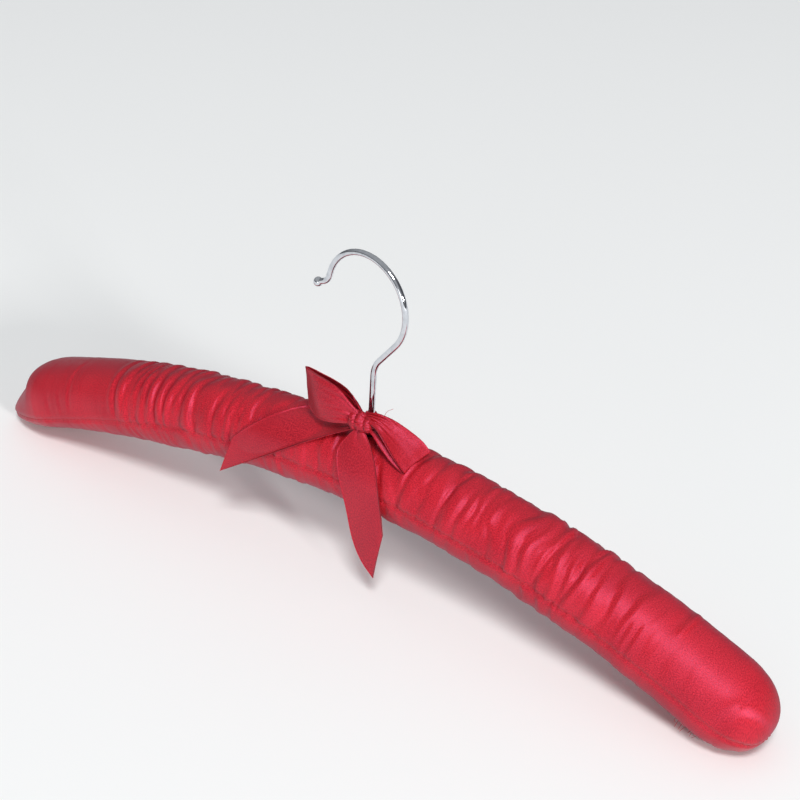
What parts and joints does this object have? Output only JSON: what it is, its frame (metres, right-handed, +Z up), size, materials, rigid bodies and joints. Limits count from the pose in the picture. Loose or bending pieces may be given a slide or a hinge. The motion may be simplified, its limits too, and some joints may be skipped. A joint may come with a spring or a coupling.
{
  "type": "clothes hanger",
  "caption": "Padded clothes hanger: curved wooden bar in gathered red satin sleeves, with a swivelling chrome wire hook and a ribbon bow tied at its foot.",
  "frame": {"origin": "on the hook's swivel axis, at the inside of the loop's top, where a rail bears on it with the arms level", "axes": "+Z up along the swivel axis; +X along the arms; -Y faces the bow"},
  "size_m": [0.4038, 0.0388, 0.1575],
  "materials": {
    "satin": "gathered satin, bright along the folds",
    "ribbon": "satin ribbon with a flat selvedge",
    "thread": "polyester sewing thread",
    "padding": "soft white wadding",
    "core_wood": "plain sanded wood",
    "hook_chrome": "bright chrome plate",
    "bush_steel": "zinc-plated steel"
  },
  "bodies": {
    "hook": {"hook_wire": "hook_chrome"},
    "arms": {"wood_core": "core_wood", "core_bush": "bush_steel", "hook_washer": "bush_steel", "foam_left": "padding", "foam_right": "padding", "cover_left": "satin", "cover_right": "satin", "seam_thread_left": "thread", "seam_thread_right": "thread", "centre_join_thread": "thread", "bow_neck_tie": "ribbon", "bow_knot": "ribbon", "bow_loop_left": "ribbon", "bow_loop_right": "ribbon", "bow_tail_left": "ribbon", "bow_tail_centre": "ribbon"}
  },
  "joints": [
    {"name": "hook_swivel", "type": "hinge", "parent": "hook", "child": "arms", "pos_m": [0, 0, 0], "axis": [0, 0, 1], "continuous": true}
  ]
}
